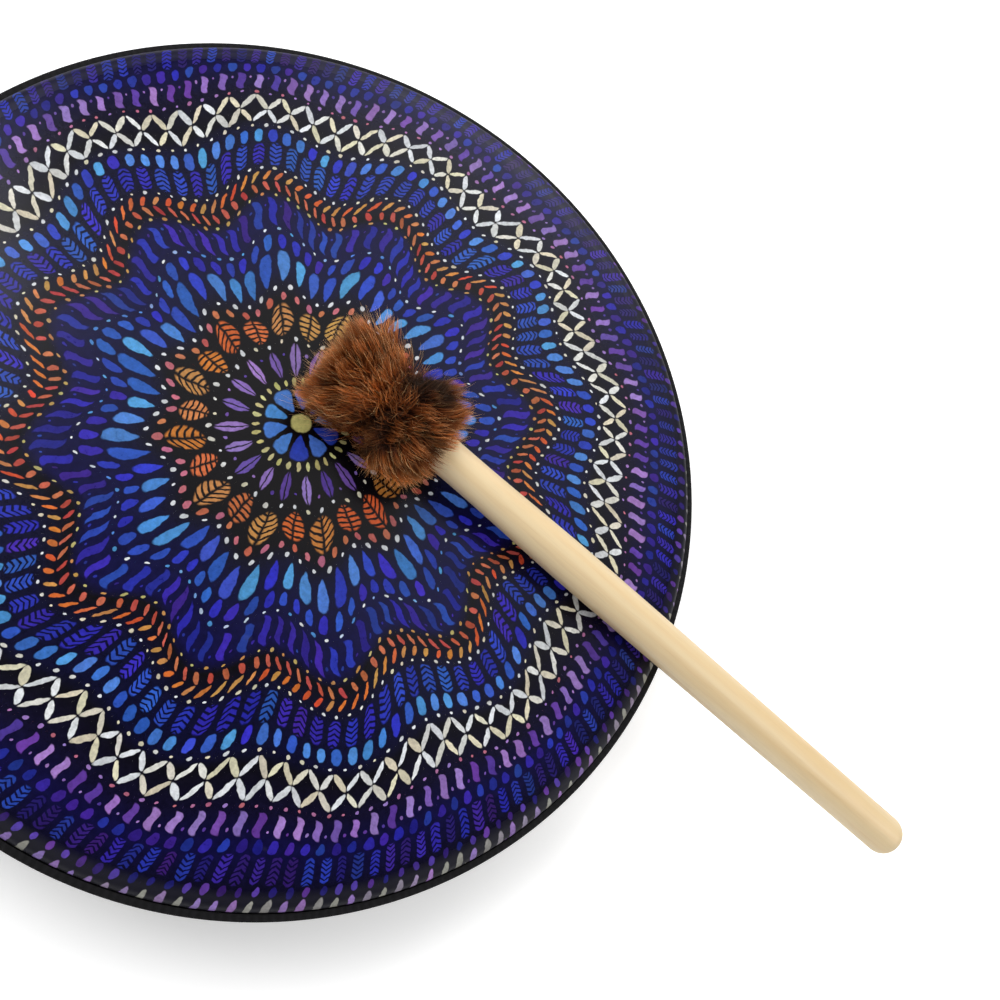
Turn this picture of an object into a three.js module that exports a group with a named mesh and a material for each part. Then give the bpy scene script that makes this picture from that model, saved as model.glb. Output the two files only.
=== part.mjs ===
// A round frame drum with its fur-headed beater lying across it.
// Millimetres, +Z up. The drum stands on the back edge of its hoop, with its playing face up. The beater
// lies along +X: its fur head rests on the face and its handle on the rim. The origin is under the middle
// of the whole set, on the surface that the drum stands on.
import * as THREE from 'three';

// The drum
const DRUM_DIAMETER = 250; // over the edge band
const DRUM_DEPTH = 45; // from the hoop's back edge to the playing face
const HOOP_WALL = 7.5;
const HOOP_EDGE_ROUND = 1.5; // the hoop's back corners, sanded round
const BEARING_EDGE_DROP = 3.2; // how far the hoop's top slopes down inwards, away from the skin
const SKIN_THICKNESS = 1;
const SHOULDER_RADIUS = 4; // the skin's turn from the face to the side
const BAND_THICKNESS = 2;
const BAND_HEIGHT = 20;
const BAND_DROP = 3.5; // from the playing face down to the band's upper edge
const BAND_ROUND = 0.7;
const HEM_COVER = 0.8; // how far the band reaches past the skin's hem
const FIT_GAP = 0.3; // between pieces that touch

// The beater. Its own axis is +X, and x = 0 is the middle of its fur head.
const HANDLE_DIAMETER = 12.5;
const HANDLE_NECK_DIAMETER = 11; // where the handle enters the fur
const HANDLE_NECK_END = 22;
const HANDLE_TAPER_END = 70;
const HANDLE_END = 206;
const HANDLE_END_ROUND = 5.2;
const HANDLE_INNER_END = -8;
const FUR_TIP = -24.5;
const FUR_TIP_LOBE_RADIUS = 13;
const FUR_WAIST_RADIUS = 9.8;
const FUR_LOWER_LOBE_RADIUS = 14;
const FUR_LOWER_END = 18.5;
const FUR_WAIST = -3; // where the two lobes part
const LOCKS_AROUND = 12;
const LOCK_LENGTH = 10;
const LOCK_RELIEF = 2.6;

// How the beater lies on the drum
const BEATER_OFFSET = 17.8; // its axis passes this far beside the drum's axis
const FUR_ALONG = 14.9; // the fur head's middle, past the drum's axis
const FUR_REST_HEIGHT = 13.5; // the fur head's axis over the face, with the fur pressed flat below

// Fineness
const DRUM_SIDES = 90;
const HANDLE_SIDES = 24;
const FUR_SIDES = LOCKS_AROUND * 4;
const FUR_RINGS = 34;
const ARC_STEPS = 4;

const drumRadius = DRUM_DIAMETER / 2;
const bandInnerRadius = drumRadius - BAND_THICKNESS;
const skinRadius = bandInnerRadius - FIT_GAP;
const skinInnerRadius = skinRadius - SKIN_THICKNESS;
const hoopRadius = skinInnerRadius - FIT_GAP;
const hoopInnerRadius = hoopRadius - HOOP_WALL;
const shoulderCentre = new THREE.Vector2(skinRadius - SHOULDER_RADIUS, DRUM_DEPTH - SHOULDER_RADIUS);
const bandTop = DRUM_DEPTH - BAND_DROP;
const bandBottom = bandTop - BAND_HEIGHT;
const skinHem = bandBottom + HEM_COVER;

const handleRadius = HANDLE_DIAMETER / 2;
const neckRadius = HANDLE_NECK_DIAMETER / 2;
const rimAlong = Math.sqrt(shoulderCentre.x ** 2 - BEATER_OFFSET ** 2);
const beaterSlope = Math.atan2(FUR_REST_HEIGHT - handleRadius - FIT_GAP, rimAlong - FUR_ALONG);
const beaterReach = FUR_ALONG + HANDLE_END * Math.cos(beaterSlope);

// Points of a quarter round or less, in degrees from the outward direction, upwards
function arc(centre, radius, fromDegrees, toDegrees, steps = ARC_STEPS) {
  return Array.from({ length: steps + 1 }, (_, i) => {
    const angle = THREE.MathUtils.degToRad(fromDegrees + ((toDegrees - fromDegrees) * i) / steps);
    return new THREE.Vector2(centre.x + radius * Math.cos(angle), centre.y + radius * Math.sin(angle));
  });
}

// A corner of a profile, rounded
function corner(radius, height, round, fromDegrees, toDegrees, steps = 2) {
  const middle = THREE.MathUtils.degToRad((fromDegrees + toDegrees) / 2);
  const centre = new THREE.Vector2(
    radius - round * Math.sign(Math.cos(middle)),
    height - round * Math.sign(Math.sin(middle)),
  );
  return arc(centre, round, fromDegrees, toDegrees, steps);
}

// A profile of (radius, height) points turned about the Z axis
function turnedAboutZ(profile, sides) {
  return new THREE.LatheGeometry(profile, sides).rotateX(Math.PI / 2);
}

// A profile of (radius, distance along) points turned about the X axis
function turnedAboutX(profile, sides) {
  return new THREE.LatheGeometry(profile, sides).rotateZ(-Math.PI / 2);
}

function piece(name, geometry, color, roughness) {
  const mesh = new THREE.Mesh(geometry, new THREE.MeshStandardMaterial({ color, roughness, metalness: 0 }));
  mesh.name = name;
  return mesh;
}

// The bent-wood ring: square below, and above a rounded bearing edge that slopes away inwards
function hoop() {
  const profile = [
    ...corner(hoopInnerRadius, 0, HOOP_EDGE_ROUND, 180, 270),
    ...corner(hoopRadius, 0, HOOP_EDGE_ROUND, 270, 360),
    ...arc(shoulderCentre, hoopRadius - shoulderCentre.x, 0, 90, 3),
    new THREE.Vector2(hoopInnerRadius, DRUM_DEPTH - SKIN_THICKNESS - FIT_GAP - BEARING_EDGE_DROP),
  ];
  profile.push(profile[0].clone());
  return piece('hoop', turnedAboutZ(profile, DRUM_SIDES), 0x17161a, 0.55);
}

// The skin: a flat face, a rounded shoulder and a skirt down the hoop's side
function drumHead() {
  const underside = DRUM_DEPTH - SKIN_THICKNESS;
  const profile = [
    new THREE.Vector2(0, underside),
    ...arc(shoulderCentre, SHOULDER_RADIUS - SKIN_THICKNESS, 90, 0),
    new THREE.Vector2(skinInnerRadius, skinHem),
    new THREE.Vector2(skinRadius, skinHem),
    ...arc(shoulderCentre, SHOULDER_RADIUS, 0, 90),
    new THREE.Vector2(0, DRUM_DEPTH),
  ];
  return piece('drum_head', turnedAboutZ(profile, DRUM_SIDES), 0x2a2a8c, 0.45);
}

// The black strip round the side, over the skin's hem
function edgeBand() {
  const profile = [
    new THREE.Vector2(bandInnerRadius, bandBottom),
    ...corner(drumRadius, bandBottom, BAND_ROUND, 270, 360),
    ...corner(drumRadius, bandTop, BAND_ROUND, 0, 90),
    new THREE.Vector2(bandInnerRadius, bandTop),
  ];
  profile.push(profile[0].clone());
  return piece('edge_band', turnedAboutZ(profile, DRUM_SIDES), 0x1d1d20, 0.7);
}

// The turned handle: a slim neck in the fur, a slow swell and a rounded end
function beaterHandle() {
  const swell = new THREE.CubicBezierCurve(
    new THREE.Vector2(neckRadius, HANDLE_NECK_END),
    new THREE.Vector2(neckRadius, (HANDLE_NECK_END + HANDLE_TAPER_END) / 2),
    new THREE.Vector2(handleRadius, (HANDLE_NECK_END + HANDLE_TAPER_END) / 2),
    new THREE.Vector2(handleRadius, HANDLE_TAPER_END),
  );
  const profile = [
    new THREE.Vector2(0, HANDLE_INNER_END),
    new THREE.Vector2(neckRadius, HANDLE_INNER_END),
    ...swell.getPoints(4),
    ...corner(handleRadius, HANDLE_END, HANDLE_END_ROUND, 0, 90, 5),
    new THREE.Vector2(0, HANDLE_END),
  ];
  return piece('beater_handle', turnedAboutX(profile, HANDLE_SIDES), 0xe2c48f, 0.5);
}

// The relief of the locks: each row rises from its roots to its pointed tips, away from the waist, and the
// next row starts below them, half a lock round
function lockRelief(fromWaist, angle) {
  const row = fromWaist / LOCK_LENGTH;
  const rise = row - Math.floor(row);
  const halfStep = Math.floor(row) % 2 === 0 ? 0 : 0.5;
  const column = (angle / (2 * Math.PI)) * LOCKS_AROUND + halfStep;
  const fromCrest = 2 * Math.abs(column - Math.round(column));
  return LOCK_RELIEF * Math.max(0, rise * (1 - fromCrest * (0.7 + rise)) + 0.25 * (1 - fromCrest));
}

// The stuffed fur head: two lobes of locks that part at a waist, a socket for the handle, and an
// underside pressed flat on the face
function beaterFurHead() {
  const socketRadius = neckRadius + FIT_GAP;
  const outline = new THREE.SplineCurve([
    new THREE.Vector2(0, FUR_TIP),
    new THREE.Vector2(FUR_TIP_LOBE_RADIUS * 0.72, FUR_TIP + 1.4),
    new THREE.Vector2(FUR_TIP_LOBE_RADIUS, FUR_TIP + 7.5),
    new THREE.Vector2(FUR_TIP_LOBE_RADIUS * 0.95, FUR_WAIST - 8),
    new THREE.Vector2(FUR_WAIST_RADIUS, FUR_WAIST),
    new THREE.Vector2(FUR_LOWER_LOBE_RADIUS * 0.95, FUR_WAIST + 9),
    new THREE.Vector2(FUR_LOWER_LOBE_RADIUS, FUR_LOWER_END - 8),
    new THREE.Vector2(FUR_LOWER_LOBE_RADIUS * 0.8, FUR_LOWER_END - 1.5),
    new THREE.Vector2(socketRadius + 1.5, FUR_LOWER_END),
  ]);
  const rings = outline.getSpacedPoints(FUR_RINGS);
  const profile = [
    ...rings,
    new THREE.Vector2(socketRadius, FUR_LOWER_END - 1),
    new THREE.Vector2(socketRadius, HANDLE_INNER_END - FIT_GAP),
    new THREE.Vector2(0, HANDLE_INNER_END - FIT_GAP),
  ];
  const spacing = outline.getLength() / FUR_RINGS;
  const waistRing = rings.findIndex((point) => point.y >= FUR_WAIST);
  const geometry = turnedAboutX(profile, FUR_SIDES);
  const position = geometry.attributes.position;
  for (let i = 0; i < position.count; i++) {
    const ring = i % profile.length;
    const side = Math.floor(i / profile.length) % FUR_SIDES;
    const angle = (2 * Math.PI * side) / FUR_SIDES;
    let along = position.getX(i);
    let scale = 1;
    if (ring > 0 && ring < FUR_RINGS) {
      const radius = rings[ring].x;
      const tangent = outline.getTangentAt(ring / FUR_RINGS);
      const fade = Math.min(1, radius / FUR_WAIST_RADIUS);
      const relief = fade * lockRelief(Math.abs(ring - waistRing) * spacing, angle);
      along -= relief * tangent.x;
      scale += (relief * tangent.y) / radius;
    }
    const pressedFlat = (FIT_GAP - FUR_REST_HEIGHT + along * Math.sin(beaterSlope)) / Math.cos(beaterSlope);
    position.setX(i, along);
    position.setY(i, position.getY(i) * scale);
    position.setZ(i, Math.max(position.getZ(i) * scale, pressedFlat));
  }
  return piece('beater_fur_head', geometry, 0x7a4a26, 0.95);
}

const drum = new THREE.Group();
drum.add(hoop(), drumHead(), edgeBand());

const beater = new THREE.Group();
beater.add(beaterHandle(), beaterFurHead());
beater.position.set(FUR_ALONG, BEATER_OFFSET, DRUM_DEPTH + FUR_REST_HEIGHT);
beater.rotation.y = beaterSlope;

const shamanDrum = new THREE.Group();
shamanDrum.add(drum, beater);
shamanDrum.position.x = -(beaterReach - drumRadius) / 2;

export default shamanDrum;
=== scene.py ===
# %% [markdown]
# # A shaman drum with its fur-headed beater
# The construction is already settled: it comes in as a fixed frame of plain solids. Here each of its pieces
# gets the surface that the eye expects: a skin printed in bright inks on near black, a black-stained wooden
# hoop, a woven strip round the side, a pale turned handle and a head of brown fur. Blender works in metres,
# and the frame's axes are kept: +Z is up out of the drum's face, and the beater lies along +X.

# %% Load the frame
import math

import bpy
import numpy as np
from mathutils import Matrix, Quaternion, Vector


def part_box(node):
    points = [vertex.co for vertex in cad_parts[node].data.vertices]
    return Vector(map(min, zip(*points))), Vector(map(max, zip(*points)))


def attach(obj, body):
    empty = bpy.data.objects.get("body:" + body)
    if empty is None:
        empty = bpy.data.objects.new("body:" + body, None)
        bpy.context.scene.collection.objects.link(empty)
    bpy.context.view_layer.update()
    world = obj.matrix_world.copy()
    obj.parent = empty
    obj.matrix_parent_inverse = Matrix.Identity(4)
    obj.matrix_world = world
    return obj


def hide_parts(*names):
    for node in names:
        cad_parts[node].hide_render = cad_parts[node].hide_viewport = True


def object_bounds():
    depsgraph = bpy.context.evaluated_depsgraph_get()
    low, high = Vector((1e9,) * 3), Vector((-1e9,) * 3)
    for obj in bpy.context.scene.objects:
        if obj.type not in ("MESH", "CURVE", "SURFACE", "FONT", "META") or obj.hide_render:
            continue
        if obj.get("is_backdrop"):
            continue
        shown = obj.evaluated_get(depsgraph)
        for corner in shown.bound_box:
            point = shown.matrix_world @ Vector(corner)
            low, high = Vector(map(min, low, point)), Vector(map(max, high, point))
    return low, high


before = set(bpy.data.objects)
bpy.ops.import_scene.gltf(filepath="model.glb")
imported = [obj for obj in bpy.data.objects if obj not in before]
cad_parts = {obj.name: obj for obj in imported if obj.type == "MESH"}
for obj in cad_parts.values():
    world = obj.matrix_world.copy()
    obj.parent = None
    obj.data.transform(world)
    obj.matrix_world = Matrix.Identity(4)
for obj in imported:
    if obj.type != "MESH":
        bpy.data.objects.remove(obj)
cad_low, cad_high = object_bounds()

print("nodes:", sorted(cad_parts))

# %% [markdown]
# ## Sizes from the frame
# No size of the drum is typed in twice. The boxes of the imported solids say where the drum's axis is, how
# high the playing face is and how wide each ring is, so a change to the construction moves the looks with
# it.

# %% Sizes from the frame
MM = 0.001

hoop_low, hoop_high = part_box("hoop")
skin_low, skin_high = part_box("drum_head")
band_low, band_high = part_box("edge_band")
fur_low, fur_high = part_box("beater_fur_head")
handle_low, handle_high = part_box("beater_handle")

drum_axis = (band_low + band_high) / 2
drum_axis.z = 0
face_height = skin_high.z
drum_radius = (band_high.y - band_low.y) / 2
skin_radius = (skin_high.y - skin_low.y) / 2
hoop_radius = (hoop_high.y - hoop_low.y) / 2
face_centre = Vector((drum_axis.x, drum_axis.y, face_height))
print(f"drum {2000 * drum_radius:.0f} mm across, face {1000 * face_height:.0f} mm high")

# %% [markdown]
# ## The camera
# The photographer stood close, a little to the near side of the drum, and looked down at a slant, with the
# picture turned against the beater. The place and the aim are given in drum radii from the middle of the
# face, so that they are easy to picture: a bit over two radii up, aimed past the middle. The roll then
# turns the picture about the line of sight. The beater was laid along +X, which is why the roll is large.

# %% Camera
CAMERA_PLACE = Vector((0.0452, -0.7758, 2.2147))
CAMERA_AIM = Vector((0.4279, 0.1858, 0))
CAMERA_ROLL_DEGREES = 59.12
CAMERA_LENS_MM = 37.49


def make_camera():
    data = bpy.data.cameras.new("camera")
    data.lens = CAMERA_LENS_MM
    data.clip_start, data.clip_end = 0.01, 20
    camera = bpy.data.objects.new("camera", data)
    bpy.context.scene.collection.objects.link(camera)
    camera.location = face_centre + drum_radius * CAMERA_PLACE
    sight = drum_radius * (CAMERA_AIM - CAMERA_PLACE)
    roll = Quaternion((0, 0, 1), math.radians(CAMERA_ROLL_DEGREES))
    camera.rotation_mode = "QUATERNION"
    camera.rotation_quaternion = sight.to_track_quat("-Z", "Y") @ roll
    bpy.context.scene.camera = camera
    return camera


camera = make_camera()
print("camera at", [round(v, 3) for v in camera.location])

# %% [markdown]
# ## Building node trees with little typing
# Every finish is a tree of small nodes. A few short helpers keep that readable: one adds a node and fills
# its inputs, where a socket is linked and a plain value is set, two do sums, and the rest stand for the
# nodes that come up most. They serve shader trees and geometry trees alike, because the maths nodes are the
# same in both.


# %% Node helpers
def add(tree, kind, inputs=None, **settings):
    """A new node of that kind. Settings are its properties; inputs are sockets to link or plain values."""
    node = tree.nodes.new(kind)
    for name, value in settings.items():
        setattr(node, name, value)
    for key, value in (inputs or {}).items():
        feed(tree, node.inputs[key], value)
    return node


def feed(tree, socket, value):
    if isinstance(value, bpy.types.NodeSocket):
        tree.links.new(value, socket)
    else:
        socket.default_value = value


def sums(tree):
    """Short names for the maths nodes of one tree: sums(tree)("ADD", a, b) gives a socket."""

    def calculate(operation, *values, clamp=False):
        node = tree.nodes.new("ShaderNodeMath")
        node.operation, node.use_clamp = operation, clamp
        for socket, value in zip(node.inputs, values):
            feed(tree, socket, value)
        return node.outputs[0]

    return calculate


def vectors(tree):
    """The same for vectors. Lengths and dot products come out as a value."""

    def calculate(operation, *values):
        node = tree.nodes.new("ShaderNodeVectorMath")
        node.operation = operation
        for i, value in enumerate(values):
            scaled = operation == "SCALE" and i == 1
            feed(tree, node.inputs["Scale" if scaled else i], value)
        return node.outputs["Value" if operation in ("LENGTH", "DOT_PRODUCT", "DISTANCE") else "Vector"]

    return calculate


def group(name, kind, inputs, outputs):
    """An empty node group with named sockets, and its input and output nodes."""
    tree = bpy.data.node_groups.new(name, kind)
    types = {"value": "Float", "vector": "Vector", "colour": "Color", "geometry": "Geometry",
             "whole": "Int", "material": "Material"}
    for direction, wanted in (("INPUT", inputs), ("OUTPUT", outputs)):
        for title, sort in wanted.items():
            tree.interface.new_socket(title, in_out=direction, socket_type="NodeSocket" + types[sort])
    return tree, tree.nodes.new("NodeGroupInput").outputs, tree.nodes.new("NodeGroupOutput").inputs


def use(tree, shared, inputs):
    """A shared shader group placed in a material, with its inputs filled."""
    node = tree.nodes.new("ShaderNodeGroup")
    node.node_tree = shared
    for key, value in inputs.items():
        feed(tree, node.inputs[key], value)
    return node.outputs


def material(name, roughness, sheen=0.0, specular=0.5):
    """A material with its Principled shader, the plain values set on the shader itself."""
    made = bpy.data.materials.new(name)
    made.use_nodes = True
    shader = made.node_tree.nodes["Principled BSDF"]
    shader.inputs["Roughness"].default_value = roughness
    shader.inputs["Sheen Weight"].default_value = sheen
    shader.inputs["Specular IOR Level"].default_value = specular
    return made, made.node_tree, shader.inputs


def object_place(tree):
    return add(tree, "ShaderNodeTexCoord").outputs["Object"]


def join(tree, x=0.0, y=0.0, z=0.0):
    """Three values as one vector."""
    return add(tree, "ShaderNodeCombineXYZ", {"X": x, "Y": y, "Z": z}).outputs[0]


def parts_of(tree, vector):
    """A vector's three values, under "X", "Y" and "Z"."""
    return add(tree, "ShaderNodeSeparateXYZ", {"Vector": vector}).outputs


def channels_of(tree, colour):
    """A colour's three values, under "Red", "Green" and "Blue"."""
    return add(tree, "ShaderNodeSeparateColor", {"Color": colour}).outputs


def mix(tree, share, first, second):
    """One colour mixed into another by a share."""
    inputs = {"Factor": share, "A": first, "B": second}
    return add(tree, "ShaderNodeMix", inputs, data_type="RGBA").outputs["Result"]


def fit(tree, value, start, end, low=0.0, high=1.0, **settings):
    """A value carried from one range to another and held at its ends."""
    inputs = {"Value": value, "From Min": start, "From Max": end, "To Min": low, "To Max": high}
    return add(tree, "ShaderNodeMapRange", inputs, **settings).outputs[0]


def noise(tree, place, scale, detail, **more):
    """Cloudy noise, as a value under "Fac" and as three values under "Color"."""
    inputs = {"Vector": place, "Scale": scale, "Detail": detail, **more}
    return add(tree, "ShaderNodeTexNoise", inputs).outputs


def ramp(tree, value, stops):
    """A colour that changes smoothly along a value, through (place, colour) stops."""
    node = add(tree, "ShaderNodeValToRGB", {"Fac": value})
    elements = node.color_ramp.elements
    for i, (at, colour) in enumerate(stops):
        element = elements[i] if i < 2 else elements.new(at)
        element.position, element.color = at, colour
    return node.outputs["Color"]


def raise_relief(tree, shader, height, strength, depth, invert=False):
    """Relief too fine to model, as a bump on the shader."""
    inputs = {"Height": height, "Strength": strength, "Distance": depth}
    feed(tree, shader["Normal"], add(tree, "ShaderNodeBump", inputs, invert=invert).outputs[0])


def ink(red, green, blue):
    """A colour given as it looks on screen, from 0 to 255, as the linear value that Blender mixes."""
    shares = (v / 255 for v in (red, green, blue))
    return tuple(v / 12.92 if v <= 0.04045 else ((v + 0.055) / 1.055) ** 2.4 for v in shares) + (1,)


print("helpers ready")

# %% [markdown]
# ## Shared effects
# Three small groups serve the finishes. The first turns an object's coordinates into a place on the round:
# how far from an axis, how far round it and how high, in millimetres. The second gives the print's edges
# the small unsteadiness of handwork. The third is wood grain, which runs along one direction and varies
# quickly across it. Coordinates come from the object, so that the pattern stays on the piece from any side.


# %% Round coordinates
def make_round_place():
    tree, given, out = group(
        "round_place", "ShaderNodeTree", {"Place": "vector", "Axis": "vector"},
        {"Radius mm": "value", "Turn": "value", "Height mm": "value", "Flat place mm": "vector"},
    )
    calc, vec = sums(tree), vectors(tree)
    millimetres = vec("SCALE", vec("SUBTRACT", given["Place"], given["Axis"]), 1000)
    parts = parts_of(tree, millimetres)
    radius = calc("SQRT", calc("ADD", calc("POWER", parts["X"], 2), calc("POWER", parts["Y"], 2)))
    turn = calc("ADD", calc("DIVIDE", calc("ARCTAN2", parts["Y"], parts["X"]), 2 * math.pi), 0.5)
    feed(tree, out["Radius mm"], radius)
    feed(tree, out["Turn"], turn)
    feed(tree, out["Height mm"], parts["Z"])
    feed(tree, out["Flat place mm"], millimetres)
    return tree


round_place = make_round_place()
print("made", round_place.name)


# %% Unsteady hand
def make_unsteady_hand():
    tree, given, out = group(
        "unsteady_hand", "ShaderNodeTree",
        {"Place": "vector", "Broad": "value", "Fine": "value", "Broad size": "value", "Fine size": "value"},
        {"Place": "vector"},
    )
    calc, vec = sums(tree), vectors(tree)
    moved = given["Place"]
    for amount, size in (("Broad", "Broad size"), ("Fine", "Fine size")):
        wander = noise(tree, given["Place"], calc("DIVIDE", 1, given[size]), 1.0)["Color"]
        wander = vec("SUBTRACT", wander, (0.5, 0.5, 0.5))
        moved = vec("ADD", moved, vec("SCALE", wander, calc("MULTIPLY", given[amount], 2)))
    feed(tree, out["Place"], moved)
    return tree


unsteady_hand = make_unsteady_hand()
print("made", unsteady_hand.name)


# %% Wood grain
def make_wood_grain():
    tree, given, out = group(
        "wood_grain", "ShaderNodeTree",
        {"Place": "vector", "Grain size": "value", "Stretch": "value"},
        {"Growth": "value", "Pores": "value"},
    )
    calc, vec = sums(tree), vectors(tree)
    along = calc("DIVIDE", 1, given["Stretch"])
    squeezed = vec("MULTIPLY", given["Place"], join(tree, along, 1.0, 1.0))
    place = vec("SCALE", squeezed, calc("DIVIDE", 1, given["Grain size"]))
    feed(tree, out["Growth"], noise(tree, place, 0.35, 3.0, Distortion=0.6)["Fac"])
    feed(tree, out["Pores"], fit(tree, noise(tree, place, 2.6, 4.0, Roughness=0.65)["Fac"], 0.52, 0.72))
    return tree


wood_grain = make_wood_grain()
print("made", wood_grain.name)

# %% [markdown]
# ## The printed design
# The skin carries a plain pattern in flat inks: rings of small marks round one middle, mostly blue, with
# warm, white and violet rings between, laid out for this part alone. It could be a picture file, but a
# drawing made by sums stays sharp at any size. One shader group draws one ring of marks: it cuts the ring
# into equal cells, finds the place in the cell, and tests whether that lies inside a mark whose length,
# width, taper, slant, swing and pinch are given. So one group draws dots, leaves, drops, bars and ribbons.


# %% One ring of marks
MARK_INPUTS = ("Middle", "Half length", "Count", "Width", "Corners", "Taper", "Slant", "Pinch",
               "Mirrored", "Vein", "Stagger", "Rungs", "Swing", "Size spread")
# A mark never gets narrower than this share of its width
SLIMMEST = 0.12
# How much of a mark's half width its vein fades over
VEIN_FADE = 0.14
# How steeply the cuts between a mark's rungs rise from its middle line
RUNG_STEEPNESS = 0.7


def make_mark_ring():
    tree, given, out = group(
        "mark_ring", "ShaderNodeTree",
        {"Radius mm": "value", "Turn": "value", "Edge": "value", **{name: "value" for name in MARK_INPUTS}},
        {"Mask": "value", "Chance": "colour"},
    )
    calc = sums(tree)

    def times(*values):
        product = values[0]
        for value in values[1:]:
            product = calc("MULTIPLY", product, value)
        return product

    cells = calc("MULTIPLY_ADD", given["Turn"], given["Count"], given["Stagger"])
    cell = calc("FLOORED_MODULO", calc("FLOOR", cells), given["Count"])
    from_cell_middle = calc("SUBTRACT", calc("FRACT", cells), 0.5)
    seed = {"Vector": join(tree, cell, given["Middle"])}
    chance = add(tree, "ShaderNodeTexWhiteNoise", seed, noise_dimensions="2D").outputs["Color"]
    odds = channels_of(tree, chance)
    size = calc("SUBTRACT", 1.05, times(odds["Blue"], given["Size spread"]))
    hand = calc("SUBTRACT", 1, times(calc("FLOORED_MODULO", cell, 2), given["Mirrored"], 2))
    from_middle = calc("SUBTRACT", given["Radius mm"], given["Middle"])
    along = calc("DIVIDE", from_middle, times(given["Half length"], size))
    across = calc("DIVIDE", calc("MULTIPLY", from_cell_middle, 2), times(given["Width"], size))
    squared = calc("POWER", along, 2)
    lean = times(given["Slant"], along, hand)
    sway = times(given["Swing"], along, calc("SUBTRACT", squared, 0.55), hand)
    across = calc("SUBTRACT", across, calc("ADD", lean, sway))
    waist = times(given["Pinch"], calc("SUBTRACT", 1, squared))
    breadth = calc("SUBTRACT", calc("MULTIPLY_ADD", given["Taper"], along, 1.0), waist)
    across = calc("ABSOLUTE", calc("DIVIDE", across, calc("MAXIMUM", breadth, SLIMMEST)))
    corners = given["Corners"]
    lengthways = calc("POWER", calc("ABSOLUTE", along), corners)
    reach = calc("POWER", calc("ADD", lengthways, calc("POWER", across, corners)), calc("DIVIDE", 1, corners))
    outer, inner = calc("ADD", 1, given["Edge"]), calc("SUBTRACT", 1, given["Edge"])
    inside = fit(tree, reach, outer, inner, interpolation_type="SMOOTHSTEP")
    off_vein = fit(tree, across, given["Vein"], calc("ADD", given["Vein"], VEIN_FADE))
    vein = calc("MULTIPLY", calc("GREATER_THAN", given["Vein"], 0.01), calc("SUBTRACT", 1, off_vein))
    chevron = calc("MULTIPLY", across, RUNG_STEEPNESS)
    step = calc("FRACT", calc("MULTIPLY_ADD", times(along, hand), given["Rungs"], chevron))
    in_cut = fit(tree, calc("ABSOLUTE", calc("SUBTRACT", step, 0.5)), 0.26, 0.36)
    cut = calc("MULTIPLY", calc("GREATER_THAN", given["Rungs"], 0.1), in_cut)
    gaps = calc("MAXIMUM", vein, cut)
    feed(tree, out["Mask"], calc("MULTIPLY", inside, calc("SUBTRACT", 1, gaps), clamp=True))
    feed(tree, out["Chance"], chance)
    return tree


mark_ring = make_mark_ring()
print("made", mark_ring.name, "with", len(mark_ring.nodes), "nodes")

# %% [markdown]
# ### The inks and the rings
# A printer would name the inks and the marks before laying out the sheet, and so does this script. A mark
# is a set of shape numbers, and a ring says where it ends, which mark it repeats and how often. The inks
# are laid in bands of their own, two to a band. Rings and bands follow one another outwards, so only their
# outer radius is given. This layout is the script's own.

# %% Inks
INKS = {
    "orange": ink(222, 106, 48), "rust": ink(186, 84, 58), "coral": ink(206, 106, 80),
    "amber": ink(208, 148, 82), "lemon": ink(202, 194, 122), "straw": ink(222, 216, 156),
    "cream": ink(230, 222, 194), "white": ink(232, 236, 240), "ash": ink(166, 166, 156),
    "sky": ink(84, 152, 226), "azure": ink(46, 76, 200), "cobalt": ink(38, 44, 176),
    "ultramarine": ink(36, 26, 136), "indigo": ink(40, 22, 108), "violet": ink(96, 60, 164),
    "lilac": ink(164, 128, 204), "pink": ink(200, 112, 136),
}
print(len(INKS), "inks")

# %% Marks
# A width too small to be seen, which stands for no mark at all
SLIGHT = 0.001
PLAIN_MARK = {"Width": 0.6, "Corners": 2.0, "Taper": 0.0, "Slant": 0.0, "Pinch": 0.0, "Mirrored": 0.0,
              "Vein": 0.0, "Stagger": 0.0, "Rungs": 0.0, "Swing": 0.0, "Size spread": 0.2, "Margin": 0.4}
MARKS = {
    "speck": {"Width": 0.32, "Size spread": 0.5, "Stagger": 0.5, "Margin": 0.9},
    "dot": {"Width": 0.46, "Size spread": 0.3},
    "petal": {"Width": 0.8, "Taper": 0.3, "Corners": 2.6},
    "leaf": {"Width": 0.5, "Corners": 1.6, "Vein": 0.07},
    "feather": {"Width": 0.8, "Corners": 1.7, "Vein": 0.05, "Rungs": 2.6, "Size spread": 0.1},
    "ribbon": {"Width": 0.5, "Corners": 2.6, "Swing": 1.6, "Slant": 0.5},
    "ladder": {"Width": 0.66, "Corners": 3.0, "Rungs": 2.4, "Mirrored": 1.0, "Size spread": 0.1},
    "column": {"Width": 0.6, "Corners": 5.0, "Rungs": 2.6, "Mirrored": 1.0, "Size spread": 0.15,
               "Margin": 0.2},
    "boss": {"Width": SLIGHT},
    "tick": {"Width": 0.4, "Corners": 2.2, "Slant": 1.2, "Margin": 0.3},
    "tock": {"Width": 0.4, "Corners": 2.2, "Slant": -1.2, "Margin": 0.3},
    "twig": {"Width": 0.54, "Corners": 2.0, "Slant": -1.5, "Mirrored": 1.0, "Margin": 0.3},
    "barb": {"Width": 0.54, "Corners": 2.0, "Slant": 1.5, "Mirrored": 1.0, "Margin": 0.3},
    "drop": {"Width": 0.62, "Taper": 0.4, "Corners": 2.0, "Margin": 0.4},
    "wisp": {"Width": 0.52, "Swing": 1.1, "Pinch": 0.2, "Corners": 2.4, "Stagger": 0.5},
    "oval": {"Width": 0.62, "Corners": 2.3, "Margin": 0.4},
    "egg": {"Width": 0.58, "Taper": 0.2, "Corners": 2.2, "Stagger": 0.5, "Margin": 0.4},
}
print(len(MARKS), "sorts of mark")

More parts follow.
